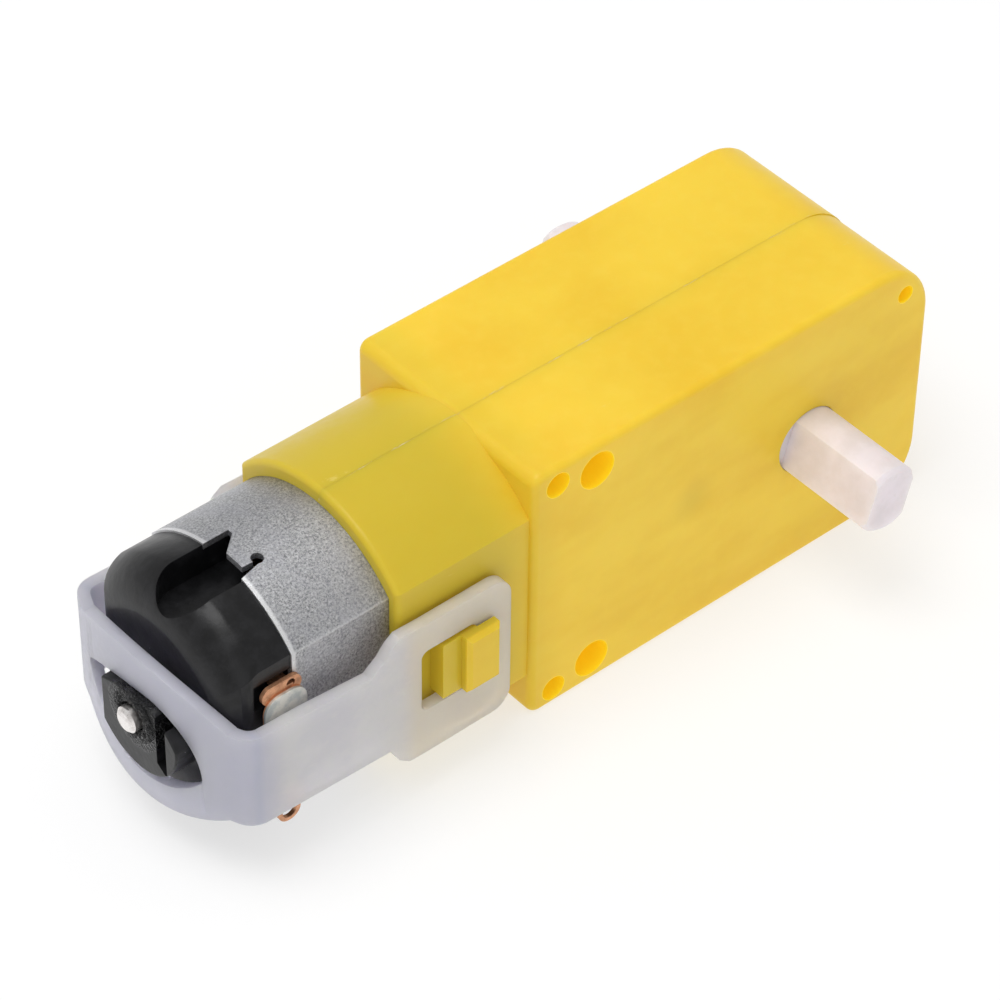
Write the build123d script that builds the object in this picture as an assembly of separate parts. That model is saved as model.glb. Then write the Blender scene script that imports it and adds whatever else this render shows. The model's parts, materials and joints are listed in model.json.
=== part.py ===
from build123d import *
import math
import os

# Geared DC motor: a small brushed can motor clipped into a two-shell plastic gearbox whose
# output shaft leaves both wide faces. Millimetres.
# Origin: on the output shaft's axis, half way between the gearbox's two wide faces.
# +X: along the motor axis, from the motor towards the gearbox's free end.
# +Y: along the output shaft. +Z: up, with the motor lying on its narrow long side.

# ---- driving dimensions ----
BOX_FRONT = -25.9        # face that the motor sleeve grows out of
BOX_END = 11.4
BOX_HALF_Y = 9.4
BOX_HALF_Z = 11.25
BOX_END_RADIUS = 4.8     # far shell
NEAR_END_RADIUS = 5.0    # near shell, a little rounder than the far one
BOX_FRONT_RADIUS = 0.9
FACE_ROUNDING = 0.55
WALL = 1.5
SEAM_Y = -0.85           # the two shells meet here

MOTOR_Y = -0.5           # motor axis height across the gearbox
SLEEVE_END = -37.4
SLEEVE_R = 11.25
SLEEVE_HALF = 8.45
SLEEVE_BLEND = 1.7
SLEEVE_RIM = 0.45        # rounding of the sleeve's outer rim

MOUNT_X = -20.24
MOUNT_HALF_PITCH = 9.0
MOUNT_R = 1.5
SCREW_FRONT = (-23.76, 9.7)
SCREW_END = (8.86, 8.67)
SCREW_FRONT_R = 1.0
SCREW_END_R = 0.7
SCREW_HEAD_R = 1.1
SCREW_SEAT_Y = 8.2
HOOK_STEM = (-34.6, -31.6)
HOOK_HEAD = (-33.0, -30.1)
HOOK_HALF = 2.5
HOOK_MID_Z = -0.4
TAB_LENGTH = 4.5
TAB_HOLE = 2.3           # from the tab's end to its hole's middle
TAB_WIDTH = 6.2
TAB_THICK = 2.6

CAN_FRONT = -25.55
CAN_REAR = -45.6
CAN_R = 10.05
CAN_HALF = 7.55
CAN_WALL = 0.5
CAP_R = 9.9              # outside the can, nearly flush with it
CAP_HALF = 7.4
CAP_CORNER = 2.2
CAP_REAR = -50.9
CAP_INSERT = 2.0
CAP_CHANNEL = (1.8, -2.5)    # sides of the brush channel, from the motor axis
CAP_CHANNEL_END = -50.6
CAP_CHANNEL_FLOOR = 7.3
BOSS_REAR = -53.2
BOSS_R = 4.65
BOSS_SIDES = (3.6, -4.6)     # flats of the boss, from the motor axis
BOSS_RECESS_R = 2.1
BOSS_RECESS = 0.3
BOSS_SLOT = (-2.4, -3.45)
REAR_BUSH = (-51.6, -49.0)
ROTOR_SHAFT_R = 1.0
ROTOR_SHAFT_END = -17.8
ROTOR_SHAFT_REAR = -54.0
MAGNET_X = (-41.0, -28.2)
STACK_X = (-40.0, -29.0)
STACK_R = 6.4
COMMUTATOR_X = (-47.2, -43.8)

MODULE = 0.5
PRESSURE = math.radians(20)
CROWN_X = -12.0          # crown gear and idler pin; the output shaft is at X = 0
PINION_TEETH = 8
CROWN_TEETH = 32
CROWN_PINION_TEETH = 12
FIRST_WHEEL_TEETH = 36
IDLER_PINION_TEETH = 16
WHEEL_TEETH = 32
BACKLASH = 0.05          # taken off each flank
PIN_R = 1.0
OUTPUT_R = 2.7
OUTPUT_FLATS = 3.7
OUTPUT_REACH = 8.4
OUTPUT_TWIST = 16.0      # degrees the flats lean at rest
RUNNING = 0.05

STRAP_THICK = 0.9
STRAP_ARM_Y = 9.7        # outer face, from the motor axis
STRAP_FRONT = -28.5
STRAP_REAR = -52.75
STRAP_BOW = 2.3          # how far the rear band bows out between its corners
STRAP_CORNER = 1.8
STRAP_LEAN_X = -36.0     # behind this the band leans towards +Y, pulled aside by the cap
STRAP_LEAN = 0.4
STRAP_MID_Z = -1.2
STRAP_FRAME_HALF = 6.1
STRAP_ARM_HALF = 4.1
STRAP_BAND_HALF = 6.4
EYE_TIPS = ((7.0, -0.75), (-5.6, -2.9))    # Y from the motor axis, Z
EYE_TOP = (-1.2, 2.15)
EYE_BOTTOM = (0.8, -5.65)

os.makedirs("parts", exist_ok=True)


# ---- shape helpers ----
def slab(sketch, y0, y1):
    """Extrude an XZ sketch from y0 to y1."""
    return extrude(Plane.XZ.offset(-y0) * sketch, amount=y0 - y1)


def bar(sketch, x0, x1):
    """Extrude a YZ sketch from x0 to x1."""
    return extrude(Plane.YZ.offset(x0) * sketch, amount=x1 - x0)


def post(radius, x, z, y0, y1):
    return slab(Pos(x, z) * Circle(radius), y0, y1)


def rod(radius, y, z, x0, x1):
    return bar(Pos(y, z) * Circle(radius), x0, x1)


def block(x0, x1, y0, y1, z0, z1):
    middle = Pos((x0 + x1) / 2, (y0 + y1) / 2, (z0 + z1) / 2)
    return middle * Box(x1 - x0, y1 - y0, z1 - z0)


def flatted_circle(radius, half, grow=0.0):
    """A motor section: a circle cut by two flats facing -Y and +Y."""
    outline = Circle(radius + grow) & Rectangle(2 * (half + grow), 3 * radius)
    return Pos(MOTOR_Y, 0) * outline


def save(shape, name):
    export_step(shape, f"parts/{name}.step")


def save_group(solids, name):
    save(Compound(children=list(solids)), name)


# ---- gear helpers ----
def involute(angle):
    return math.tan(angle) - angle


def flank_angle(teeth, radius):
    """Half the tooth's angle at a radius, thinned by the backlash."""
    pitch_r = MODULE * teeth / 2
    base_r = pitch_r * math.cos(PRESSURE)
    at_pitch = math.pi / (2 * teeth) - BACKLASH / pitch_r
    here = 0.0 if radius <= base_r else involute(math.acos(base_r / radius))
    return at_pitch + involute(PRESSURE) - here


def gear_sketch(teeth, tip_r, turn=0.0):
    """A spur gear outline with a tooth centred at the angle turn."""
    pitch_r = MODULE * teeth / 2
    root_r = pitch_r - 1.25 * MODULE
    base_r = pitch_r * math.cos(PRESSURE)
    start_r = max(root_r, base_r)
    mid_r = (start_r + tip_r) / 2

    def at(radius, angle):
        return Vector(radius * math.cos(angle), radius * math.sin(angle))

    edges = []
    pitch = 2 * math.pi / teeth
    for tooth in range(teeth):
        centre = math.radians(turn) + tooth * pitch
        root = flank_angle(teeth, root_r)
        low = flank_angle(teeth, start_r)
        mid = flank_angle(teeth, mid_r)
        tip = flank_angle(teeth, tip_r)
        if start_r > root_r:
            edges.append(Line(at(root_r, centre - root), at(start_r, centre - low)))
        edges.append(ThreePointArc(at(start_r, centre - low), at(mid_r, centre - mid), at(tip_r, centre - tip)))
        edges.append(ThreePointArc(at(tip_r, centre - tip), at(tip_r, centre), at(tip_r, centre + tip)))
        edges.append(ThreePointArc(at(tip_r, centre + tip), at(mid_r, centre + mid), at(start_r, centre + low)))
        if start_r > root_r:
            edges.append(Line(at(start_r, centre + low), at(root_r, centre + root)))
        gap = centre + pitch / 2
        edges.append(ThreePointArc(at(root_r, centre + root), at(root_r, gap), at(root_r, centre + pitch - root)))
    return make_face(Wire(edges))


def spur(teeth, x, y0, y1, turn=0.0, addendum=1.0):
    tip_r = MODULE * (teeth / 2 + addendum)
    return slab(Pos(x, 0) * gear_sketch(teeth, tip_r, turn), y0, y1)


# ---- gearbox shells ----
def box_solid(end_radius, inset=0.0, half_y=BOX_HALF_Y):
    width = BOX_END - BOX_FRONT - 2 * inset
    centre_x = (BOX_END + BOX_FRONT) / 2
    outline = Rectangle(width, 2 * (BOX_HALF_Z - inset))
    outline = fillet(outline.vertices().group_by(Axis.X)[-1], end_radius - inset)
    outline = fillet(outline.vertices().group_by(Axis.X)[0], BOX_FRONT_RADIUS)
    return slab(Pos(centre_x, 0) * outline, -half_y, half_y)


def rounded_box(end_radius):
    box = box_solid(end_radius)
    faces = box.faces().sort_by(Axis.Y)
    return fillet(faces[0].edges() + faces[-1].edges(), FACE_ROUNDING)


def near_half():
    return block(-60, 30, -30, SEAM_Y, -30, 30)


def far_half():
    return block(-60, 30, SEAM_Y, 30, -30, 30)


def sleeve_blend():
    """The hollow curve where the sleeve widens into the gearbox's front face."""
    sections = []
    for step in range(4):
        turn = math.pi / 2 * step / 3
        back = SLEEVE_BLEND * (1 - math.sin(turn))
        grow = SLEEVE_BLEND * (1 - math.cos(turn))
        sections.append(Plane.YZ.offset(BOX_FRONT - back) * flatted_circle(SLEEVE_R, SLEEVE_HALF, grow))
    flare = loft(sections)
    limit = block(BOX_FRONT - 5, BOX_FRONT + 5, -BOX_HALF_Y + 0.05, BOX_HALF_Y - 0.05,
                  -BOX_HALF_Z + 0.05, BOX_HALF_Z - 0.05)
    return flare & limit


def hook(side):
    """A T-shaped catch for one arm of the strap; side is -1 near, +1 far."""
    flat = SLEEVE_HALF
    z0, z1 = HOOK_MID_Z - HOOK_HALF, HOOK_MID_Z + HOOK_HALF
    stem = block(HOOK_STEM[0], HOOK_STEM[1], flat - 0.5, STRAP_ARM_Y + 0.15, z0, z1)
    head = block(HOOK_HEAD[0], HOOK_HEAD[1], STRAP_ARM_Y + 0.1, STRAP_ARM_Y + 1.0, z0, z1)
    head = chamfer(head.faces().sort_by(Axis.Y)[-1].edges(), 0.3)
    shape = stem + head
    if side < 0:
        shape = mirror(shape, Plane.XZ)
    return Pos(0, MOTOR_Y, 0) * shape


def end_tab():
    tab = block(BOX_END - 0.5, BOX_END + TAB_LENGTH, SEAM_Y, SEAM_Y + TAB_THICK, -TAB_WIDTH / 2, TAB_WIDTH / 2)
    return fillet(tab.edges().filter_by(Axis.Y).group_by(Axis.X)[-1], 2.4)


def sleeve():
    tube = bar(flatted_circle(SLEEVE_R, SLEEVE_HALF), SLEEVE_END, BOX_FRONT + 0.4)
    return fillet(tube.faces().sort_by(Axis.X)[0].edges(), SLEEVE_RIM)


def gearbox():
    envelope = box_solid(NEAR_END_RADIUS)
    outer = (rounded_box(NEAR_END_RADIUS) & near_half()) + (rounded_box(BOX_END_RADIUS) & far_half())
    outer += sleeve()
    outer += sleeve_blend()
    cavity = box_solid(NEAR_END_RADIUS, WALL, BOX_HALF_Y - WALL)
    shell = outer - cavity

    # posts that cross the cavity
    added = []
    for sign in (-1, 1):
        added.append(post(2.25, MOUNT_X, sign * MOUNT_HALF_PITCH, -8.5, 8.5))
        added.append(post(1.9, SCREW_FRONT[0], sign * SCREW_FRONT[1], -8.5, 8.5))
        added.append(post(1.7, SCREW_END[0], sign * SCREW_END[1], -8.5, 8.5))
    # bosses for the idler pin and the output shaft
    added.append(post(2.3, CROWN_X, 0, -8.5, -4.9))
    added.append(post(2.3, CROWN_X, 0, 7.15, 8.5))
    added.append(post(4.2, 0, 0, -8.5, -4.95))
    added.append(post(4.2, 0, 0, 7.05, 8.5))
    for boss in added:
        shell += boss & envelope
    shell += end_tab()
    shell += hook(-1)
    shell += hook(1)

    # motor pocket, its front hole, and the shaft, pin and screw holes
    cuts = [bar(flatted_circle(CAN_R + 0.02, CAN_HALF + 0.02), SLEEVE_END - 1, CAN_FRONT)]
    cuts.append(rod(3.15, MOTOR_Y, 0, CAN_FRONT - 1, BOX_FRONT + WALL + 0.5))
    cuts.append(post(OUTPUT_R + RUNNING, 0, 0, -BOX_HALF_Y - 1, BOX_HALF_Y + 1))
    cuts.append(post(PIN_R, CROWN_X, 0, -8.6, 8.6))
    cuts.append(post(MOUNT_R, BOX_END + TAB_LENGTH - TAB_HOLE, 0, -6, 6))
    for sign in (-1, 1):
        cuts.append(post(MOUNT_R, MOUNT_X, sign * MOUNT_HALF_PITCH, -12, 12))
        cuts.append(post(SCREW_FRONT_R, SCREW_FRONT[0], sign * SCREW_FRONT[1], -12, 12))
        cuts.append(post(SCREW_END_R, SCREW_END[0], sign * SCREW_END[1], -12, 12))
        for x, z in (SCREW_FRONT, SCREW_END):
            cuts.append(post(SCREW_HEAD_R + 0.05, x, sign * z, SCREW_SEAT_Y, 12))
    for cut in cuts:
        shell -= cut
    return shell


def split_shells(shell):
    return shell & near_half(), shell & far_half()


def screws(place, shank_r):
    """A pair of cross-head screws, one each side of the middle, heads in the far shell."""
    top = SCREW_SEAT_Y + 0.9
    arm = SCREW_HEAD_R * 0.7
    result = []
    for sign in (-1, 1):
        x, z = place[0], sign * place[1]
        screw = post(shank_r, x, z, -6.4, SCREW_SEAT_Y + 0.1)
        head = post(SCREW_HEAD_R, x, z, SCREW_SEAT_Y, top)
        screw += fillet(head.faces().sort_by(Axis.Y)[-1].edges(), 0.3)
        screw -= block(x - arm, x + arm, top - 0.5, top + 1, z - 0.15, z + 0.15)
        screw -= block(x - 0.15, x + 0.15, top - 0.5, top + 1, z - arm, z + arm)
        result.append(screw)
    return result


# ---- gear train ----
def crown_tooth():
    """One face tooth at the angle zero, its tip towards +Y, from the pinion's rolling geometry."""
    pinion_r = MODULE * PINION_TEETH / 2
    base_r = pinion_r * math.cos(PRESSURE)
    tip, root = 1.8, 2.8
    sections = []
    for radius in (7.6, 8.5):
        rolling = radius * PINION_TEETH / CROWN_TEETH
        slope = math.acos(base_r / rolling)
        tooth = 2 * rolling * (math.pi / (2 * PINION_TEETH) + involute(PRESSURE) - involute(slope))
        half = (2 * math.pi * rolling / PINION_TEETH - tooth) / 2 - BACKLASH
        half_tip = half + (tip - rolling) * math.tan(slope)
        half_root = half + (root - rolling) * math.tan(slope)
        corners = [(MOTOR_Y - tip, -half_tip), (MOTOR_Y - tip, half_tip),
                   (MOTOR_Y - root, half_root), (MOTOR_Y - root, -half_root)]
        sections.append(Plane.YZ.offset(radius) * make_face(Polyline(corners, close=True)))
    return loft(sections, ruled=True)


def crown_gear():
    disc_top = MOTOR_Y - 2.7
    gear = post(8.6, 0, 0, -4.5, disc_top)
    gear -= post(6.9, 0, 0, disc_top - 0.5, disc_top + 0.1)
    tooth = crown_tooth()
    for index in range(CROWN_TEETH):
        gear += Rot(0, 180 + index * 360 / CROWN_TEETH, 0) * tooth
    gear = Pos(CROWN_X, 0, 0) * gear
    gear += spur(CROWN_PINION_TEETH, CROWN_X, -3.8, 0.4)
    gear += post(2.2, CROWN_X, 0, -4.75, -4.4)
    return gear - post(PIN_R + RUNNING, CROWN_X, 0, -10, 10)


def first_idler():
    tip_cut = 0.8
    gear = spur(FIRST_WHEEL_TEETH, 0, -1.7, 0.3, 180 / FIRST_WHEEL_TEETH, tip_cut)
    gear += spur(IDLER_PINION_TEETH, 0, 0.2, 4.3)
    gear += post(3.15, 0, 0, -4.8, -1.6)
    return gear - post(OUTPUT_R + RUNNING, 0, 0, -10, 10)


def second_idler():
    gear = spur(WHEEL_TEETH, CROWN_X, 2.45, 4.2, 180 / WHEEL_TEETH)
    gear += spur(IDLER_PINION_TEETH, CROWN_X, 4.1, 7.0)
    return gear - post(PIN_R + RUNNING, CROWN_X, 0, -10, 10)


def output_gear():
    gear = spur(WHEEL_TEETH, 0, 4.65, 6.75, 180 / WHEEL_TEETH)
    return gear - post(OUTPUT_R, 0, 0, -10, 10)


def motor_pinion():
    outline = gear_sketch(PINION_TEETH, MODULE * (PINION_TEETH / 2 + 1), 90 + 180 / PINION_TEETH)
    gear = bar(Pos(MOTOR_Y, 0) * outline, -21.4, -18.3)
    return gear - rod(ROTOR_SHAFT_R, MOTOR_Y, 0, -30, -10)


def output_shaft():
    reach = BOX_HALF_Y + OUTPUT_REACH
    shaft = post(OUTPUT_R, 0, 0, -reach, reach)
    shaft = chamfer(shaft.edges().filter_by(GeomType.CIRCLE), 0.35)
    for side in (-1, 1):
        for face in (-1, 1):
            y0, y1 = sorted((side * (BOX_HALF_Y - 0.2), side * (reach + 1)))
            x0, x1 = sorted((face * OUTPUT_FLATS / 2, face * 5))
            shaft -= Rot(0, OUTPUT_TWIST, 0) * block(x0, x1, y0, y1, -5, 5)
    return shaft


# ---- motor ----
def crimp_notch(side):
    """The two-lobed notch in the can's rim; side is +1 at the top, -1 at the bottom."""
    outline = Polygon((CAN_REAR - 1, -2.4), (CAN_REAR, -2.4), (-43.9, -2.05), (-44.0, -1.75), (-45.0, -1.7),
                      (-45.05, -0.1), (-43.55, 1.2), (-43.5, 1.72), (CAN_REAR - 1, 1.7), align=None)
    outline += Pos(-43.7, -1.65) * Circle(0.45)
    notch = Pos(0, MOTOR_Y, 8.0) * extrude(outline, 4)
    return notch if side > 0 else mirror(notch, Plane.XY)


def motor_can():
    can = bar(flatted_circle(CAN_R, CAN_HALF), CAN_REAR, CAN_FRONT)
    can = fillet(can.faces().sort_by(Axis.X)[-1].edges(), 0.9)
    can += rod(3.0, MOTOR_Y, 0, CAN_FRONT - 0.2, CAN_FRONT + 1.35)
    can -= bar(flatted_circle(CAN_R - CAN_WALL, CAN_HALF - CAN_WALL), CAN_REAR - 1, CAN_FRONT - CAN_WALL)
    can -= rod(2.0, MOTOR_Y, 0, CAN_FRONT - 2, CAN_FRONT + 3)
    for side in (-1, 1):
        can -= crimp_notch(side)
    return can


def bush(x0, x1):
    return rod(2.0, MOTOR_Y, 0, x0, x1) - rod(ROTOR_SHAFT_R + RUNNING, MOTOR_Y, 0, x0 - 1, x1 + 1)


def cap_body():
    """The part of the cap outside the can: turned with a soft shoulder, flattened, corners rounded."""
    profile = make_face(Wire([Line((CAN_REAR, 0), (CAN_REAR, CAP_R)), Line((CAN_REAR, CAP_R), (-48.2, CAP_R)),
                              ThreePointArc((-48.2, CAP_R), (-50.0, 8.9), (CAP_REAR, 6.9)),
                              Line((CAP_REAR, 6.9), (CAP_REAR, 0)), Line((CAP_REAR, 0), (CAN_REAR, 0))]))
    turned = revolve(Plane.XZ * profile, Axis.X)
    plan = Pos((CAP_REAR + CAN_REAR + 10) / 2, 0) * Rectangle(CAN_REAR + 10 - CAP_REAR, 2 * CAP_HALF)
    plan = fillet(plan.vertices().group_by(Axis.X)[0], CAP_CORNER)
    body = turned & Pos(0, 0, -15) * extrude(plan, 30)
    return Pos(0, MOTOR_Y, 0) * body


def cap_boss():
    """The bearing boss, which stands out through the strap's eye."""
    outline = Circle(BOSS_R) & Pos(sum(BOSS_SIDES) / 2, 0) * Rectangle(BOSS_SIDES[0] - BOSS_SIDES[1], 20)
    outline &= offset(eye_outline(), -0.15)
    outline = fillet(outline.vertices(), 0.3)
    boss = bar(Pos(MOTOR_Y, 0) * outline, BOSS_REAR, CAP_REAR + 0.5)
    boss = fillet(boss.faces().sort_by(Axis.X)[0].edges(), 0.15)
    boss -= rod(BOSS_RECESS_R, MOTOR_Y, 0, BOSS_REAR - 1, BOSS_REAR + BOSS_RECESS)
    y0, y1 = BOSS_SLOT[1] + MOTOR_Y, BOSS_SLOT[0] + MOTOR_Y
    wedge = Polygon((y0, 6), (y0, -3.3), (y1, -2.6), (y1, 6), align=None)
    return boss - bar(wedge, BOSS_REAR - 1, BOSS_REAR + 1.5)


def end_cap():
    section = flatted_circle(CAN_R - CAN_WALL - 0.02, CAN_HALF - CAN_WALL - 0.02)
    cap = cap_body() + bar(section, CAN_REAR - 0.5, CAN_REAR + CAP_INSERT) + cap_boss()
    inside = flatted_circle(CAN_R - CAN_WALL - 1.4, CAN_HALF - CAN_WALL - 1.2)
    cap -= bar(inside & Pos(MOTOR_Y, 0) * Rectangle(30, 9.0), CAP_REAR + 2.2, CAN_REAR + CAP_INSERT + 1)
    side_a, side_b = CAP_CHANNEL
    length = CAN_REAR + CAP_INSERT + 2 - CAP_CHANNEL_END
    middle = (CAP_CHANNEL_END + length / 2, MOTOR_Y + (side_a + side_b) / 2)
    channel = Pos(*middle) * SlotOverall(length, side_a - side_b)
    for side in (-1, 1):
        z0 = CAP_CHANNEL_FLOOR if side > 0 else -CAP_CHANNEL_FLOOR - 6
        cap -= Pos(0, 0, z0) * extrude(channel, 6)
        # the pocket and the slit that a terminal leaves by
        cap -= block(-48.7, CAN_REAR + 0.001, -15, MOTOR_Y - 6.7, side * 4.3 - 1.1, side * 4.3 + 1.1)
        cap -= block(-47.2, CAN_REAR, MOTOR_Y - 9, MOTOR_Y - 5.0, side * 4.4 - 0.2, side * 4.4 + 0.2)
    cap -= rod(2.0, MOTOR_Y, 0, REAR_BUSH[0], REAR_BUSH[1] + 1)
    return cap - rod(ROTOR_SHAFT_R + 0.2, MOTOR_Y, 0, BOSS_REAR, REAR_BUSH[0] + 0.1)


def magnet(side):
    ring = Circle(CAN_R - CAN_WALL - 0.03) - Circle(6.8)
    wedge = Polygon((0, 0), (11, 11), (-11, 11), align=None)
    arc = Pos(MOTOR_Y, 0) * (ring & wedge & Rectangle(13.6, 40))
    shape = bar(arc, *MAGNET_X)
    return shape if side > 0 else mirror(shape, Plane.XY)


def magnet_springs():
    result = []
    for side in (-1, 1):
        y = MOTOR_Y + side * (CAN_HALF - CAN_WALL - 0.15)
        result.append(block(-38, -31, y - 0.15, y + 0.15, -4.2, 4.2))
    return result


def armature_core():
    lamination = Circle(2.4)
    for pole in range(3):
        shoe = (Circle(STACK_R) - Circle(5.5)) & Polygon((0, 0), (9, 9.6), (9, -9.6), align=None)
        lamination += Rot(0, 0, pole * 120) * (Pos(3.6, 0) * Rectangle(4.4, 2.2) + shoe)
    return bar(Pos(MOTOR_Y, 0) * lamination, *STACK_X) - rod(ROTOR_SHAFT_R, MOTOR_Y, 0, -60, 0)


def windings():
    result = []
    for pole in range(3):
        coil = block(STACK_X[0] - 1.3, STACK_X[1] + 1.3, 2.9, 4.8, -2.35, 2.35)
        coil = fillet(coil.edges().filter_by(Axis.Y), 1.0)
        coil -= block(STACK_X[0], STACK_X[1], 0, 8, -1.1, 1.1)
        result.append(Pos(0, MOTOR_Y, 0) * (Rot(pole * 120, 0, 0) * coil))
    return result


def commutator_base():
    tube = rod(1.8, MOTOR_Y, 0, *COMMUTATOR_X) + rod(2.6, MOTOR_Y, 0, COMMUTATOR_X[1], COMMUTATOR_X[1] + 0.8)
    return tube - rod(ROTOR_SHAFT_R, MOTOR_Y, 0, -60, 0)


def commutator_segments():
    ring = rod(2.25, MOTOR_Y, 0, *COMMUTATOR_X) - rod(1.8, MOTOR_Y, 0, -60, 0)
    for gap in range(3):
        cut = Rot(60 + gap * 120, 0, 0) * block(-60, -40, 0, 3, -0.15, 0.15)
        ring -= Pos(0, MOTOR_Y, 0) * cut
    return ring.solids()


def rotor_shaft():
    shaft = rod(ROTOR_SHAFT_R, MOTOR_Y, 0, ROTOR_SHAFT_REAR, ROTOR_SHAFT_END)
    return chamfer(shaft.edges().filter_by(GeomType.CIRCLE), 0.22)


def brush(side):
    """A leaf spring from the terminal to the commutator; side is +1 upper, -1 lower."""
    lift = 2.3
    leaf = block(-46.9, -45.9, MOTOR_Y - 5.0, MOTOR_Y + 2.0, lift, lift + 0.25)
    leaf += block(-46.9, -45.9, MOTOR_Y - 5.0, MOTOR_Y - 4.75, lift, 4.2)
    return leaf if side > 0 else mirror(leaf, Plane.XY)


def terminal(side):
    """A copper tab that leaves the cap's flat side and ends in an eyelet; side is +1 upper, -1 lower."""
    z0 = 4.2
    outer = MOTOR_Y - 7.6
    tab = block(-47.0, -45.8, outer - 0.3, MOTOR_Y - 4.95, z0, z0 + 0.35)
    if side > 0:
        # an eyelet tongue with the tinned solder lug lying on it
        tongue = Pos(-46.75, 4.4) * SlotOverall(3.3, 1.5) - Pos(-46.0, 4.6) * Circle(0.35)
        tab += slab(tongue, outer - 0.3, outer)
        lug = RectangleRounded(3.5, 3.3, 1.3)
        return tab + slab(Pos(-46.65, 2.65) * lug, outer - 0.6, outer - 0.3)
    tab = mirror(tab, Plane.XY)
    plate = Pos(-46.4, -5.5) * Rectangle(1.4, 2.7) + Pos(-46.5, -7.25) * Circle(0.95)
    plate -= Pos(-46.5, -7.3) * Circle(0.6)
    return tab + slab(plate, outer - 0.35, outer)


# ---- strap ----
def strap_plan():
    """Plan view of the U-shaped band, with Y from the motor axis."""
    arm = STRAP_ARM_Y
    corner = STRAP_REAR + STRAP_BOW
    front = STRAP_FRONT + 5
    far, near = (corner, arm + STRAP_LEAN), (corner, STRAP_LEAN - arm)
    outer = make_face(Wire([Line((front, -arm), (front, arm)), Line((front, arm), (STRAP_LEAN_X, arm)),
                            Line((STRAP_LEAN_X, arm), far), ThreePointArc(far, (STRAP_REAR, 0), near),
                            Line(near, (STRAP_LEAN_X, -arm)), Line((STRAP_LEAN_X, -arm), (front, -arm))]))
    outer = fillet(outer.vertices().group_by(Axis.X)[0], STRAP_CORNER)
    band = outer - offset(outer, -STRAP_THICK)
    return band - Pos(front, 0) * Rectangle(10, 4 * arm)


def strap_side():
    """Side view: a tall frame round the hook, then the narrow arm."""
    frame, arm = STRAP_FRAME_HALF, STRAP_ARM_HALF
    side = Polygon((STRAP_FRONT, frame), (-38.1, frame), (-38.8, frame - 0.5), (-39.5, arm + 0.6),
                   (-40.6, arm - 0.3), (-46.0, arm), (-54.5, arm), (-54.5, -arm), (-39.0, -arm),
                   (-38.3, 0.7 - frame), (-37.4, -frame), (STRAP_FRONT, -frame), align=None)
    ends = side.vertices().group_by(Axis.X)[-1]
    return fillet(ends, 1.6)


def band_outline():
    """Rear view: a lens-shaped band between the arms."""
    half, arm, edge = STRAP_BAND_HALF, STRAP_ARM_HALF, 7.6
    return make_face(Wire([ThreePointArc((-edge, arm), (0, half), (edge, arm)), Line((edge, arm), (12, arm)),
                           Line((12, arm), (12, -arm)), Line((12, -arm), (edge, -arm)),
                           ThreePointArc((edge, -arm), (0, -half), (-edge, -arm)), Line((-edge, -arm), (-12, -arm)),
                           Line((-12, -arm), (-12, arm)), Line((-12, arm), (-edge, arm))]))


def eye_outline():
    """The eye that the cap's boss stands in, seen from the rear."""
    left, right = EYE_TIPS
    eye = make_face(Wire([ThreePointArc(left, (3.2, 1.35), EYE_TOP), ThreePointArc(EYE_TOP, (-4.35, 0.5), right),
                          ThreePointArc(right, EYE_BOTTOM, left)]))
    tips = eye.vertices().sort_by(Axis.X)
    return fillet([tips[0], tips[-1]], 0.7)


def strap():
    band = Pos(0, MOTOR_Y, -9) * extrude(strap_plan(), 18)
    arms = band & slab(Pos(0, STRAP_MID_Z) * strap_side(), -15, 15)
    arms &= block(-49.0, 0, -20, 20, -20, 20)
    rear = band & bar(Pos(MOTOR_Y, STRAP_MID_Z) * band_outline(), -60, -49.0)
    rear -= bar(Pos(MOTOR_Y, 0) * eye_outline(), -60, -49.0)
    window = fillet(Rectangle(4.8, 5.6).vertices(), 0.6)
    return arms + rear - slab(Pos(-33.95, HOOK_MID_Z) * window, -15, 15)


# ---- build every piece ----
near_shell, far_shell = split_shells(gearbox())
save(near_shell, "gearbox_shell_near")
save(far_shell, "gearbox_shell_far")
save(strap(), "motor_strap")
save_group(screws(SCREW_FRONT, SCREW_FRONT_R - 0.05), "shell_screws_motor_end")
save_group(screws(SCREW_END, SCREW_END_R - 0.05), "shell_screws_free_end")
save(post(PIN_R, CROWN_X, 0, -8.6, 8.6), "idler_pin")
save(post(1.7, CROWN_X, 0, 0.5, 2.35) - post(PIN_R + RUNNING, CROWN_X, 0, 0, 3), "idler_spacer")
save(crown_gear(), "crown_gear")
save(first_idler(), "first_idler_gear")
save(second_idler(), "second_idler_gear")
save(output_gear(), "output_gear")
save(output_shaft(), "output_shaft")
save(motor_pinion(), "motor_pinion")
save(motor_can(), "motor_can")
save(bush(CAN_FRONT - 1.2, CAN_FRONT + 1.35), "front_bush")
save(bush(*REAR_BUSH), "rear_bush")
save(end_cap(), "end_cap")
save(magnet(1), "magnet_upper")
save(magnet(-1), "magnet_lower")
save_group(magnet_springs(), "magnet_springs")
save(rotor_shaft(), "rotor_shaft")
save(armature_core(), "armature_core")
save_group(windings(), "armature_windings")
save(commutator_base(), "commutator_base")
save_group(commutator_segments(), "commutator_segments")
save(brush(1), "brush_upper")
save(brush(-1), "brush_lower")
save(terminal(1), "terminal_upper")
save(terminal(-1), "terminal_lower")
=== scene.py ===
import json
import math

import bmesh
import bpy
from mathutils import Matrix, Vector, noise


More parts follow.
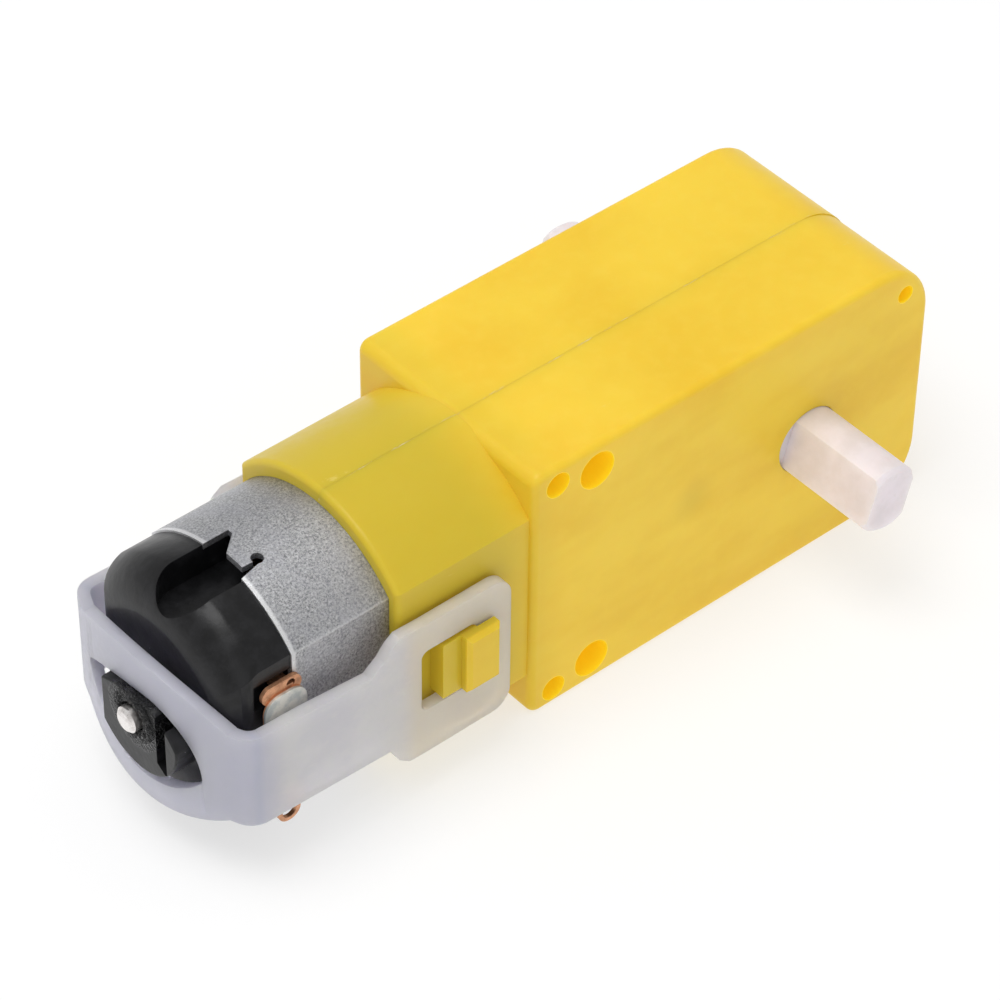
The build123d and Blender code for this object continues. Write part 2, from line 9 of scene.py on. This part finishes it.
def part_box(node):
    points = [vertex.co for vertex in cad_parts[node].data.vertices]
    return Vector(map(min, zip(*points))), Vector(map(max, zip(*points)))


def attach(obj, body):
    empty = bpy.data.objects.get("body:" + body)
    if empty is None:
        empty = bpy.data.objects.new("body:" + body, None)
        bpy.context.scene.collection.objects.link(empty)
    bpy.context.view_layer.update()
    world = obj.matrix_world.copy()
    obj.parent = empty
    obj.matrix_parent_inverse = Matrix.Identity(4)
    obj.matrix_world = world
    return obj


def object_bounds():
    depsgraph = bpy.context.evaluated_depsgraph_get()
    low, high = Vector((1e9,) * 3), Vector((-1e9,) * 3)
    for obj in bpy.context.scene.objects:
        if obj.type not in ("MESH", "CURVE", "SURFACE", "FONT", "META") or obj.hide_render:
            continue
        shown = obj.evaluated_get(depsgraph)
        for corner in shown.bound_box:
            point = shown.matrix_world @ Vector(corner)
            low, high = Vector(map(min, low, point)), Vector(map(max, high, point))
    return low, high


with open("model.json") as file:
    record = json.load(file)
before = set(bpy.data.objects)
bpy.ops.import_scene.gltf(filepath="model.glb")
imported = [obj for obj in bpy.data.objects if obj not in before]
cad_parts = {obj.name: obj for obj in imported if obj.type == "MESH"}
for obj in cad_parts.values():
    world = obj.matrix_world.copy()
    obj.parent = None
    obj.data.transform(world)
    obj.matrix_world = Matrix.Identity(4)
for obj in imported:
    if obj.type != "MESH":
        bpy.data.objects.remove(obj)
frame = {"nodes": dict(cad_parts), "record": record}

cad_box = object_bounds()
nodes = frame["nodes"]
MM = 0.001

# ---- places on the object, in mm in the row's frame ----
JOINTS = {joint["name"]: joint for joint in frame["record"]["behaviour"]["joints"]}
MOTOR_Y = JOINTS["rotor_spin"]["pos_m"][1] / MM
SEAM_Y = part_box("gearbox_shell_far")[0][1] / MM
BOX_FRONT = -25.9        # where the gearbox steps down to the motor's sleeve
CAN_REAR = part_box("motor_can")[0][0] / MM
CAN_HALF = (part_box("motor_can")[1][1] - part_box("motor_can")[0][1]) / 2 / MM
CAN_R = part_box("motor_can")[1][2] / MM
BOSS_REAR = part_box("end_cap")[0][0] / MM
FACE_NEAR = -9.4         # outer face of the near shell
HOOK_FACE = -11.2        # outer face of the near strap hook
SINK_MARK = (-10.9, FACE_NEAR, 0.9)
STRAP_SPECK = (-49.8, -10.2, -0.9)
STRAP_BEND = -49.9
MOUNTS = {mount["name"]: mount for mount in frame["record"]["mounts"]}
MOUNT_HOLES = MOUNTS["mounting_holes"]

# ---- camera: direction, distance and lens of the photograph's view ----
CAMERA_AZIMUTH = math.radians(-40.942)
CAMERA_ELEVATION = math.radians(43.134)
CAMERA_ROLL = math.radians(0.690)
CAMERA_DISTANCE = 305.143 * MM
CAMERA_TARGET = Vector((-20.903, -0.168, 0.0)) * MM
CAMERA_LENS = 156.8      # mm on a 36 mm sensor


class Surface:
    """A Principled material whose sockets are fed by short calls. Lengths are in mm."""

    def __init__(self, name):
        self.material = bpy.data.materials.new(name)
        self.material.use_nodes = True
        self.tree = self.material.node_tree
        self.shader = self.tree.nodes["Principled BSDF"]
        place = self.add("ShaderNodeTexCoord").outputs["Object"]
        self.mm = self.vector("MULTIPLY", place, (1 / MM, 1 / MM, 1 / MM))
        split = self.add("ShaderNodeSeparateXYZ")
        self.join(self.mm, split.inputs[0])
        self.x, self.y, self.z = split.outputs

    def add(self, kind, **settings):
        node = self.tree.nodes.new(kind)
        for name, value in settings.items():
            setattr(node, name, value)
        return node

    def join(self, source, socket):
        """Feed a socket from another node's output, or set its constant."""
        if isinstance(source, bpy.types.NodeSocket):
            self.tree.links.new(source, socket)
        elif isinstance(source, tuple) and len(source) == 3 and socket.type == "RGBA":
            socket.default_value = (*source, 1.0)
        else:
            socket.default_value = source

    def vector(self, operation, a, b):
        node = self.add("ShaderNodeVectorMath", operation=operation)
        self.join(a, node.inputs[0])
        self.join(b, node.inputs[1])
        return node.outputs[0]

    def sum(self, operation, a, b=0.0):
        node = self.add("ShaderNodeMath", operation=operation)
        self.join(a, node.inputs[0])
        self.join(b, node.inputs[1])
        return node.outputs[0]

    def add_up(self, *values):
        total = values[0]
        for value in values[1:]:
            total = self.sum("ADD", total, value)
        return total

    def scale(self, value, factor):
        return self.sum("MULTIPLY", value, factor)

    def ramp(self, value, low, high, out_low=0.0, out_high=1.0):
        """A smooth step from out_low at low to out_high at high; low may be above high."""
        node = self.add("ShaderNodeMapRange", interpolation_type="SMOOTHSTEP")
        if low > high:
            low, high, out_low, out_high = high, low, out_high, out_low
        self.join(value, node.inputs["Value"])
        node.inputs["From Min"].default_value = low
        node.inputs["From Max"].default_value = high
        node.inputs["To Min"].default_value = out_low
        node.inputs["To Max"].default_value = out_high
        return node.outputs["Result"]

    def near(self, value, place, width):
        """One where the value is at the place, falling to zero at the width either side."""
        distance = self.sum("ABSOLUTE", self.sum("SUBTRACT", value, place))
        return self.ramp(distance, width, 0.0)

    def spot(self, centre, radius):
        """One at a point, falling smoothly to zero at the radius."""
        offset = self.vector("SUBTRACT", self.mm, centre)
        length = self.add("ShaderNodeVectorMath", operation="LENGTH")
        self.join(offset, length.inputs[0])
        return self.ramp(length.outputs["Value"], radius, 0.0)

    def hypotenuse(self, a, b):
        squares = self.sum("ADD", self.sum("MULTIPLY", a, a), self.sum("MULTIPLY", b, b))
        return self.sum("SQRT", squares)

    def from_motor_axis(self):
        return self.hypotenuse(self.sum("SUBTRACT", self.y, MOTOR_Y), self.z)

    def from_post(self, x, z):
        """Distance from an axis along Y."""
        return self.hypotenuse(self.sum("SUBTRACT", self.x, x), self.sum("SUBTRACT", self.z, z))

    def noise(self, scale, detail=3.0, rough=0.5, stretch=(1.0, 1.0, 1.0), shift=0.0):
        """Noise with this many features per mm; stretch above one squeezes it along that axis."""
        place = self.vector("MULTIPLY", self.mm, stretch)
        place = self.vector("ADD", place, (shift, shift * 1.7, shift * 0.6))
        node = self.add("ShaderNodeTexNoise")
        self.join(place, node.inputs["Vector"])
        node.inputs["Scale"].default_value = scale
        node.inputs["Detail"].default_value = detail
        node.inputs["Roughness"].default_value = rough
        return node.outputs["Fac"]

    def cells(self, scale):
        """Voronoi cells: the distance from a cell's middle, and the cell's random number."""
        node = self.add("ShaderNodeTexVoronoi")
        self.join(self.mm, node.inputs["Vector"])
        node.inputs["Scale"].default_value = scale
        split = self.add("ShaderNodeSeparateColor")
        self.join(node.outputs["Color"], split.inputs[0])
        return node.outputs["Distance"], split.outputs[0]

    def specks(self, spacing, size, share):
        """Scattered dots: their spacing and size in mm, and the share of places that has one."""
        distance, chance = self.cells(1 / spacing)
        dot = self.ramp(distance, size / spacing, size / spacing * 0.5)
        return self.sum("MULTIPLY", dot, self.sum("LESS_THAN", chance, share))

    def mix(self, factor, a, b):
        node = self.add("ShaderNodeMix", data_type="RGBA")
        self.join(factor, node.inputs["Factor"])
        self.join(a, node.inputs["A"])
        self.join(b, node.inputs["B"])
        return node.outputs["Result"]

    def colour(self, source):
        self.join(source, self.shader.inputs["Base Color"])

    def rough(self, source):
        self.join(source, self.shader.inputs["Roughness"])

    def relief(self, height):
        """Bump from a height in mm."""
        bump = self.add("ShaderNodeBump")
        bump.inputs["Distance"].default_value = MM
        bump.inputs["Strength"].default_value = 1.0
        self.join(height, bump.inputs["Height"])
        self.tree.links.new(bump.outputs["Normal"], self.shader.inputs["Normal"])

    def constants(self, **values):
        for name, value in values.items():
            self.join(value, self.shader.inputs[name.replace("_", " ")])

    def subsurface(self, weight, radius_mm):
        self.constants(Subsurface_Weight=weight, Subsurface_Radius=radius_mm, Subsurface_Scale=MM)


# ---- materials ----
PAINTED_HOLE_GLOW = 0.12         # strength of the painted glow, an emission standing in for light through the thin walls round a hole
HOLE_EDGE = (0.06, 0.01)  # how far past a hole's radius its glow ends, and starts
SCREW_HOLE_R = {"shell_screws_motor_end": 1.0, "shell_screws_free_end": 0.7}


def hole_glow_mask(s):
    """One on the walls of the holes through the yellow shells, where a painted glow stands in for light
    passing through the plastic.
    """
    x, z = MOUNT_HOLES["pos_m"][0] / MM, MOUNT_HOLES["dims"]["spacing_y_mm"] / 2
    holes = [(x, z, MOUNT_HOLES["dims"]["hole_r_mm"])]
    for name, radius in SCREW_HOLE_R.items():
        low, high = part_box(name)
        head_r = (high[0] - low[0]) / 2 / MM
        holes.append(((low[0] + high[0]) / 2 / MM, high[2] / MM - head_r, radius))
    total = 0.0
    for hole_x, hole_z, radius in holes:
        for side in (-1, 1):
            distance = s.from_post(hole_x, side * hole_z)
            wall = s.ramp(distance, radius + HOLE_EDGE[0], radius + HOLE_EDGE[1])
            total = s.sum("ADD", wall, total)
    return total


def shell_plastic():
    """Yellow moulded plastic: flow marks, painted shade darkening the sleeve where the steel can would
    show through, a painted glow on the hole walls, the seam.
    """
    s = Surface("yellow_plastic")
    flow = s.noise(0.07, 3, 0.55, (1.0, 1.0, 2.4))
    mottle = s.noise(0.8, 4, 0.6)
    colour = s.mix(s.ramp(flow, 0.32, 0.68), (0.93, 0.63, 0.045), (0.86, 0.545, 0.028))
    colour = s.mix(s.ramp(mottle, 0.4, 0.75, 0.0, 0.18), colour, (0.97, 0.70, 0.09))
    # painted shade: a dull green-brown tint on the sleeve stands in for the dark steel can seen through
    # the thin plastic; it is weaker on the hook's face
    olive_painted_shade = s.ramp(s.add_up(s.x, s.scale(flow, 3.0)), BOX_FRONT + 5.0, BOX_FRONT - 2.5, 0.0, 0.80)
    hook = s.ramp(s.y, HOOK_FACE + 0.6, HOOK_FACE + 0.2)
    olive_painted_shade = s.sum("MULTIPLY", olive_painted_shade, s.ramp(hook, 0.0, 1.0, 1.0, 0.45))
    colour = s.mix(olive_painted_shade, colour, (0.565, 0.435, 0.028))
    # painted light: the hole walls are painted bright yellow here and given a faint emission further down
    glow = hole_glow_mask(s)
    colour = s.mix(glow, colour, (1.0, 0.74, 0.02))
    # a real shallow moulding dent at SINK_MARK (the bump below), with painted shade darkening its colour
    sink_dent_and_shade = s.spot(SINK_MARK, 2.6)
    colour = s.mix(s.scale(sink_dent_and_shade, 0.28), colour, (0.55, 0.37, 0.03))
    line = s.near(s.y, SEAM_Y, 0.07)
    streak = s.noise(1.1, 4, 0.7, (0.35, 6.0, 1.0), 3.0)
    colour = s.mix(s.scale(line, 0.16), colour, (0.60, 0.37, 0.02))
    scuff = s.sum("MULTIPLY", s.near(s.y, SEAM_Y, 0.24), s.ramp(streak, 0.60, 0.66))
    colour = s.mix(s.scale(scuff, 0.75), colour, (0.98, 0.86, 0.55))
    dirt = s.specks(5.5, 0.10, 0.35)
    colour = s.mix(s.scale(dirt, 0.8), colour, (0.16, 0.10, 0.02))
    rub = s.ramp(s.noise(0.5, 5, 0.75, (0.4, 1.0, 2.0), 9.0), 0.66, 0.74)
    colour = s.mix(s.scale(rub, 0.25), colour, (0.98, 0.80, 0.30))
    s.colour(colour)
    s.rough(s.add_up(s.ramp(mottle, 0.3, 0.7, 0.34, 0.44), s.scale(rub, 0.12), s.scale(scuff, 0.2)))
    grain = s.noise(7.0, 4, 0.65)
    height = s.add_up(s.scale(grain, 0.006), s.scale(s.noise(0.16, 2, 0.5, shift=5.0), 0.11),
                      s.scale(line, -0.012), s.scale(scuff, 0.012), s.scale(sink_dent_and_shade, -0.03))
    s.relief(height)
    s.subsurface(0.22, (2.4, 1.3, 0.35))
    # painted glow: emission on the hole walls, standing in for light through the plastic
    s.join((1.0, 0.68, 0.02), s.shader.inputs["Emission Color"])
    s.join(s.scale(glow, PAINTED_HOLE_GLOW), s.shader.inputs["Emission Strength"])
    s.constants(IOR=1.52, Specular_IOR_Level=0.26)
    return s.material


def strap_plastic():
    """Milky polypropylene: painted lilac shade over the black cap, painted yellowish light over the shell,
    darker along the bend.
    """
    s = Surface("milky_plastic")
    cloud = s.noise(0.22, 4, 0.55)
    fine = s.noise(1.6, 4, 0.6, (0.6, 1.0, 1.4), 2.0)
    colour = s.mix(s.ramp(cloud, 0.34, 0.66), (0.95, 0.92, 0.93), (0.86, 0.84, 0.89))
    colour = s.mix(s.ramp(fine, 0.5, 0.75, 0.0, 0.35), colour, (1.0, 0.96, 0.95))
    # painted shade: lilac tint where the black cap would show darkly through the strap
    colour = s.mix(s.ramp(s.x, -47.0, -50.0, 0.0, 0.75), colour, (0.66, 0.665, 0.79))
    # painted light: yellowish tint where the yellow shell's light would show through the strap
    colour = s.mix(s.ramp(s.x, -38.4, -36.4, 0.0, 0.55), colour, (1.0, 0.85, 0.62))
    speck = s.spot(STRAP_SPECK, 0.14)
    colour = s.mix(s.scale(speck, 0.9), colour, (0.12, 0.10, 0.09))
    # a darker lilac band along the strap's bend at STRAP_BEND
    bend = s.near(s.x, STRAP_BEND, 0.55)
    colour = s.mix(s.scale(bend, 0.4), colour, (0.60, 0.63, 0.76))
    mark = s.specks(6.0, 0.16, 0.16)
    colour = s.mix(s.scale(mark, 0.8), colour, (0.30, 0.26, 0.28))
    s.colour(colour)
    s.rough(s.ramp(fine, 0.3, 0.7, 0.34, 0.46))
    height = s.add_up(s.scale(s.noise(0.45, 3, 0.5, shift=7.0), 0.05), s.scale(fine, 0.012),
                      s.scale(s.noise(9.0, 3, 0.6), 0.003))
    s.relief(height)
    s.subsurface(0.75, (1.5, 1.4, 1.6))
    s.constants(Transmission_Weight=0.5, IOR=1.49, Specular_IOR_Level=0.5)
    return s.material


def zinc_steel():
    """Zinc-plated drawn steel: a fine speckle, faint draw lines, a rim bright from wear and with a painted
    highlight, and a painted highlight along the shoulder creases.
    """
    s = Surface("zinc_steel")
    grain = s.noise(6.0, 6, 0.85)
    patch = s.noise(0.35, 4, 0.6, (1.6, 1.0, 1.0), 4.0)
    spangle = s.cells(2.6)[1]
    colour = s.mix(s.ramp(grain, 0.34, 0.66), (0.15, 0.153, 0.165), (0.66, 0.665, 0.68))
    colour = s.mix(s.ramp(patch, 0.35, 0.7, 0.0, 0.35), colour, (0.42, 0.42, 0.47))
    colour = s.mix(s.scale(spangle, 0.10), colour, (0.62, 0.62, 0.62))
    flecks = s.ramp(s.noise(10.0, 3, 0.7, shift=8.0), 0.63, 0.72)
    colour = s.mix(s.scale(flecks, 0.8), colour, (0.92, 0.92, 0.93))
    # rim: a cut edge brightened by wear, with a painted highlight lightening it further
    rim = s.ramp(s.x, CAN_REAR + 0.42, CAN_REAR + 0.22)
    # painted highlight: a thin bright line along the shoulder where the flat side meets the round
    shoulder_z = math.sqrt(CAN_R ** 2 - CAN_HALF ** 2)
    crease = s.near(s.sum("ABSOLUTE", s.z), shoulder_z, 0.16)
    side = s.ramp(s.sum("ABSOLUTE", s.sum("SUBTRACT", s.y, MOTOR_Y)), CAN_HALF - 0.35, CAN_HALF - 0.1)
    crease = s.sum("MULTIPLY", crease, side)
    wear_and_painted_highlight = s.sum("MAXIMUM", rim, s.scale(crease, 0.5))
    # wear on the rim plus painted highlights on the rim and shoulder creases, lightening the colour
    colour = s.mix(s.scale(wear_and_painted_highlight, 0.75), colour, (0.86, 0.86, 0.87))
    s.colour(colour)
    s.rough(s.add_up(s.ramp(grain, 0.3, 0.7, 0.50, 0.34), s.scale(wear_and_painted_highlight, -0.1)))
    lines = s.noise(2.2, 3, 0.6, (0.12, 3.0, 3.0), 1.0)
    s.relief(s.add_up(s.scale(grain, 0.045), s.scale(lines, 0.006), s.scale(patch, 0.02)))
    s.constants(Metallic=0.92)
    return s.material


def black_nylon():
    """Black satin nylon with dust, dull rub marks, and old grease round the shaft."""
    s = Surface("black_nylon")
    haze = s.noise(0.5, 5, 0.65)
    colour = s.mix(s.ramp(haze, 0.38, 0.7), (0.0045, 0.0045, 0.005), (0.013, 0.013, 0.0145))
    dust = s.specks(1.5, 0.07, 0.30)
    colour = s.mix(s.scale(dust, 0.55), colour, (0.26, 0.26, 0.28))
    rub = s.ramp(s.noise(2.4, 5, 0.8, (0.5, 1.0, 1.0), 6.0), 0.62, 0.74)
    colour = s.mix(s.scale(rub, 0.30), colour, (0.10, 0.10, 0.11))
    reach = s.ramp(s.from_motor_axis(), 2.9, 2.0)
    grease = s.sum("MULTIPLY", reach, s.ramp(s.x, BOSS_REAR + 2.0, BOSS_REAR + 0.6))
    clots = s.noise(3.2, 3, 0.6, shift=11.0)
    s.colour(colour)
    rough = s.add_up(s.ramp(haze, 0.3, 0.7, 0.28, 0.37), s.scale(rub, 0.2), s.scale(grease, -0.2))
    s.rough(rough)
    blobs = s.sum("MULTIPLY", grease, s.ramp(clots, 0.35, 0.65))
    s.relief(s.add_up(s.scale(s.noise(0.8, 3, 0.5), 0.035), s.scale(s.noise(8.0, 4, 0.6), 0.004),
                      s.scale(blobs, 0.22)))
    s.constants(IOR=1.53, Specular_IOR_Level=0.27)
    return s.material


def milky_nylon():
    """White nylon of the output shaft: waxy and cloudy, with a few dull rub marks."""
    s = Surface("white_nylon")
    cloud = s.noise(0.35, 4, 0.6)
    colour = s.mix(s.ramp(cloud, 0.35, 0.68), (0.82, 0.76, 0.80), (0.75, 0.69, 0.71))
    rub = s.ramp(s.noise(1.3, 5, 0.75, (1.0, 0.4, 1.0), 4.0), 0.62, 0.72)
    colour = s.mix(s.scale(rub, 0.35), colour, (0.64, 0.60, 0.58))
    s.colour(colour)
    s.rough(s.ramp(cloud, 0.3, 0.7, 0.40, 0.52))
    s.relief(s.add_up(s.scale(cloud, 0.05), s.scale(s.noise(5.0, 4, 0.65), 0.006)))
    s.subsurface(0.6, (2.2, 1.9, 1.8))
    s.constants(IOR=1.5, Specular_IOR_Level=0.4)
    return s.material


def gear_acetal():
    """Cream moulded plastic of the gears, slightly cloudy."""
    s = Surface("gear_acetal")
    cloud = s.noise(0.5, 4, 0.6)
    s.colour(s.mix(s.ramp(cloud, 0.35, 0.65), (0.86, 0.85, 0.80), (0.79, 0.77, 0.71)))
    s.rough(s.ramp(cloud, 0.3, 0.7, 0.38, 0.5))
    s.relief(s.scale(s.noise(6.0, 3, 0.6), 0.005))
    s.subsurface(0.3, (1.2, 1.1, 0.9))
    return s.material


def turned_steel(name, light, dark, rough):
    """Bright steel with fine scratches and small stains."""
    s = Surface(name)
    scratches = s.noise(5.0, 3, 0.6, shift=2.0)
    stain = s.noise(1.2, 4, 0.7)
    s.colour(s.mix(s.ramp(stain, 0.4, 0.72), light, dark))
    s.rough(s.ramp(scratches, 0.3, 0.7, rough, rough + 0.14))
    s.relief(s.add_up(s.scale(scratches, 0.006), s.scale(stain, 0.01)))
    s.constants(Metallic=1.0)
    return s.material


def copper_sheet(name, tin_y=None):
    """Tarnished copper; beyond tin_y it is dipped in dull solder."""
    s = Surface(name)
    stain = s.noise(1.4, 5, 0.7)
    fine = s.noise(7.0, 3, 0.6)
    colour = s.mix(s.ramp(stain, 0.35, 0.68), (0.70, 0.36, 0.20), (0.42, 0.20, 0.11))
    colour = s.mix(s.ramp(fine, 0.55, 0.75, 0.0, 0.5), colour, (0.85, 0.52, 0.34))
    metal_rough = s.ramp(stain, 0.3, 0.7, 0.32, 0.5)
    if tin_y is not None:
        edge = s.add_up(s.y, s.scale(stain, 0.04))
        tin = s.ramp(edge, tin_y + 0.05, tin_y)
        dull = s.ramp(s.noise(0.9, 4, 0.6, shift=3.0), 0.4, 0.65)
        solder = s.mix(dull, (0.74, 0.73, 0.67), (0.50, 0.53, 0.51))
        colour = s.mix(tin, colour, solder)
        metal_rough = s.add_up(metal_rough, s.scale(tin, 0.08))
    s.colour(colour)
    s.rough(metal_rough)
    s.relief(s.add_up(s.scale(stain, 0.02), s.scale(fine, 0.006)))
    s.constants(Metallic=0.85)
    return s.material


def copper_coil():
    """Enamelled wire in bands across Z."""
    s = Surface("enamelled_wire")
    wave = s.add("ShaderNodeTexWave", wave_type="BANDS", bands_direction="Z", wave_profile="SIN")
    s.join(s.mm, wave.inputs["Vector"])
    wave.inputs["Scale"].default_value = 1.1
    wave.inputs["Distortion"].default_value = 0.6
    s.colour(s.mix(wave.outputs["Fac"], (0.20, 0.07, 0.02), (0.62, 0.27, 0.09)))
    s.rough(s.ramp(s.noise(2.0), 0.3, 0.7, 0.25, 0.4))
    s.relief(s.scale(wave.outputs["Fac"], 0.08))
    s.constants(Metallic=0.7)
    return s.material


def grey_stone(name, light, dark, metallic):
    """Ground ferrite or laminated iron."""
    s = Surface(name)
    grain = s.noise(4.0, 6, 0.75)
    s.colour(s.mix(s.ramp(grain, 0.35, 0.65), light, dark))
    s.rough(s.ramp(grain, 0.3, 0.7, 0.5, 0.7))
    s.relief(s.add_up(s.scale(grain, 0.02), s.scale(s.noise(3.0, 2, 0.5, (6.0, 0.1, 0.1)), 0.015)))
    s.constants(Metallic=metallic)
    return s.material


def finish_nodes():
    finishes = {
        "shell": shell_plastic(),
        "strap": strap_plastic(),
        "screw_steel": turned_steel("screw_steel", (0.60, 0.60, 0.60), (0.34, 0.33, 0.31), 0.28),
        "pin_steel": turned_steel("pin_steel", (0.62, 0.62, 0.63), (0.45, 0.45, 0.46), 0.22),
        "gear_plastic": gear_acetal(),
        "output_plastic": milky_nylon(),
        "can_steel": zinc_steel(),
        "bush_bronze": grey_stone("sintered_bronze", (0.42, 0.27, 0.12), (0.20, 0.13, 0.07), 0.9),
        "cap_plastic": black_nylon(),
        "magnet_ferrite": grey_stone("ferrite", (0.10, 0.10, 0.11), (0.05, 0.05, 0.055), 0.0),
        "spring_steel": turned_steel("spring_steel", (0.55, 0.56, 0.58), (0.30, 0.31, 0.38), 0.25),
        "shaft_steel": turned_steel("shaft_steel", (0.86, 0.83, 0.81), (0.62, 0.58, 0.56), 0.26),
        "core_iron": grey_stone("laminated_iron", (0.34, 0.34, 0.35), (0.16, 0.15, 0.15), 0.9),
        "copper_wire": copper_coil(),
        "copper": copper_sheet("copper"),
        "terminal_copper": copper_sheet("terminal_copper", MOTOR_Y - 8.02),
    }
    slots = {part["node"]: part["material_slot"] for part in frame["record"]["subparts"]}
    for name, obj in nodes.items():
        obj.data.materials.clear()
        obj.data.materials.append(finishes[slots[name]])
    return finishes


def soften(name, width_mm, angle=35.0):
    """Round a moulded or pressed piece's sharp edges, as its die leaves them."""
    obj = nodes[name]
    weld = obj.modifiers.new("weld", "WELD")
    weld.merge_threshold = 0.002 * MM
    bevel = obj.modifiers.new("round_edges", "BEVEL")
    bevel.width = width_mm * MM
    bevel.segments = 3
    bevel.limit_method = "ANGLE"
    bevel.angle_limit = math.radians(angle)
    bevel.use_clamp_overlap = True
    bevel.harden_normals = True


def grease_ring():
    """The lumpy collar of old grease that the cap's boss holds round the shaft's end."""
    inner, outer, height, lump, lumps_per_mm = 1.08, 2.15, 0.30, 0.16, 3.1
    fall, foot = 0.12, 0.3          # how much lower its outer side is, and its depth below the boss's face
    around, across = 96, 14
    mesh = bpy.data.meshes.new("grease_ring")
    bm = bmesh.new()
    rings = []
    for i in range(around):
        turn = 2 * math.pi * i / around
        ring = []
        for j in range(across + 1):
            share = j / across
            radius = inner + (outer - inner) * share
            y, z = radius * math.cos(turn), radius * math.sin(turn)
            crest = math.sin(math.pi * share) ** 0.6
            lumps = noise.noise(Vector((y * lumps_per_mm, z * lumps_per_mm, 4.0)))
            rise = crest * (height - fall * share + lump * lumps)
            rise = -foot if j in (0, across) else rise
            ring.append(bm.verts.new(Vector((BOSS_REAR - rise, MOTOR_Y + y, z)) * MM))
        rings.append(ring)
    for i in range(around):
        a, b = rings[i], rings[(i + 1) % around]
        for j in range(across):
            bm.faces.new((a[j], b[j], b[j + 1], a[j + 1]))
        bm.faces.new((a[across], b[across], b[0], a[0]))
    bmesh.ops.recalc_face_normals(bm, faces=bm.faces)
    for face in bm.faces:
        face.smooth = True
    bm.to_mesh(mesh)
    bm.free()
    obj = bpy.data.objects.new("grease_ring", mesh)
    bpy.context.scene.collection.objects.link(obj)
    return obj


def add_grease(material):
    ring = grease_ring()
    ring.data.materials.append(material)
    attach(ring, "housing")


# ---- camera, lights and floor ----
def add_camera():
    az, el = CAMERA_AZIMUTH, CAMERA_ELEVATION
    back = Vector((math.sin(az) * math.cos(el), -math.cos(az) * math.cos(el), math.sin(el)))
    side = Vector((math.cos(az), math.sin(az), 0.0))
    up = back.cross(side)
    right = math.cos(CAMERA_ROLL) * side + math.sin(CAMERA_ROLL) * up
    top = -math.sin(CAMERA_ROLL) * side + math.cos(CAMERA_ROLL) * up
    data = bpy.data.cameras.new("camera")
    data.lens = CAMERA_LENS
    data.sensor_width = 36.0
    data.clip_start = 0.01
    data.clip_end = 20.0
    camera = bpy.data.objects.new("camera", data)
    spin = Matrix((right, top, back)).transposed().to_4x4()
    camera.matrix_world = Matrix.Translation(CAMERA_TARGET + back * CAMERA_DISTANCE) @ spin
    bpy.context.scene.collection.objects.link(camera)
    bpy.context.scene.camera = camera


FLOOR_HALF = 6.0         # m


def add_light(name, place, size, power, colour=(1.0, 1.0, 1.0)):
    """A round softbox that faces the object."""
    data = bpy.data.lights.new(name, "AREA")
    data.shape = "DISK"
    data.size = size
    data.energy = power
    data.color = colour
    light = bpy.data.objects.new(name, data)
    light.location = place
    direction = CAMERA_TARGET - Vector(place)
    light.rotation_euler = direction.to_track_quat("-Z", "Y").to_euler()
    bpy.context.scene.collection.objects.link(light)


def add_stage():
    world = bpy.data.worlds.new("studio")
    world.use_nodes = True
    sky = world.node_tree.nodes["Background"]
    sky.inputs["Color"].default_value = (1.0, 1.0, 1.0, 1.0)
    sky.inputs["Strength"].default_value = 0.64
    bpy.context.scene.world = world
    add_light("key", (-0.16, 0.02, 0.50), 0.34, 1.25)
    add_light("fill", (-0.30, -0.30, 0.20), 0.26, 0.10, (0.95, 0.96, 1.0))
    z = cad_box[0][2]
    mesh = bpy.data.meshes.new("floor")
    half = FLOOR_HALF
    corners = [(-half, -half, z), (half, -half, z), (half, half, z), (-half, half, z)]
    mesh.from_pydata(corners, [], [(0, 1, 2, 3)])
    floor = bpy.data.objects.new("floor", mesh)
    paper = Surface("floor_paper")
    fibre = paper.noise(0.02, 3, 0.5)
    paper.colour(paper.mix(fibre, (0.38, 0.38, 0.38), (0.365, 0.365, 0.365)))
    paper.rough(0.9)
    paper.constants(Emission_Color=(1.0, 1.0, 1.0), Emission_Strength=0.62)
    mesh.materials.append(paper.material)
    bpy.context.scene.collection.objects.link(floor)


finishes = finish_nodes()
add_grease(finishes["cap_plastic"])
soften("motor_strap", 0.08)
soften("output_shaft", 0.2)
soften("end_cap", 0.25)
add_camera()
add_stage()
bpy.context.scene.view_settings.view_transform = "Standard"
